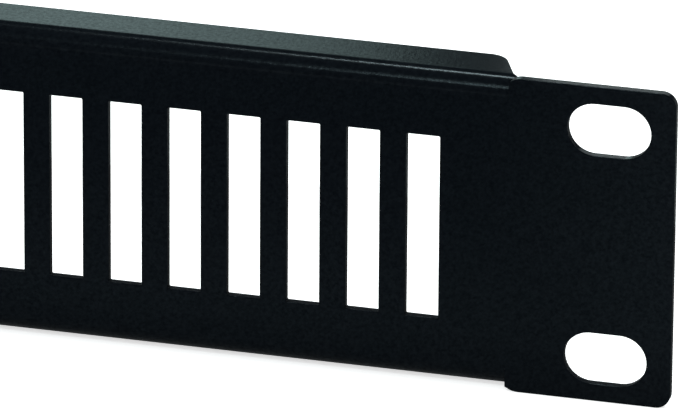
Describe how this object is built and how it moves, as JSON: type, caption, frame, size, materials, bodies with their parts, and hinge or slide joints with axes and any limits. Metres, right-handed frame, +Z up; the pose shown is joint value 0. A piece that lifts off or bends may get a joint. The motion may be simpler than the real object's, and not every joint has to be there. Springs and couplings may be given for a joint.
{
  "type": "vented rack blanking panel",
  "caption": "Flat steel filler panel for a 19 inch rack, with upright vents in a row, long edges folded back and slotted mounting ears.",
  "frame": {"origin": "middle of the four mounting slots, on the plane where the backs of the ears meet the rack's rails", "axes": "+X to the right across the rack, seen from the front; +Y into the rack; +Z up"},
  "size_m": [0.4826, 0.0086, 0.0436],
  "materials": {
    "black_powder_coat": "satin black powder coat on steel sheet, very fine texture"
  },
  "bodies": {
    "root": {"vented_panel": "black_powder_coat"}
  },
  "joints": []
}
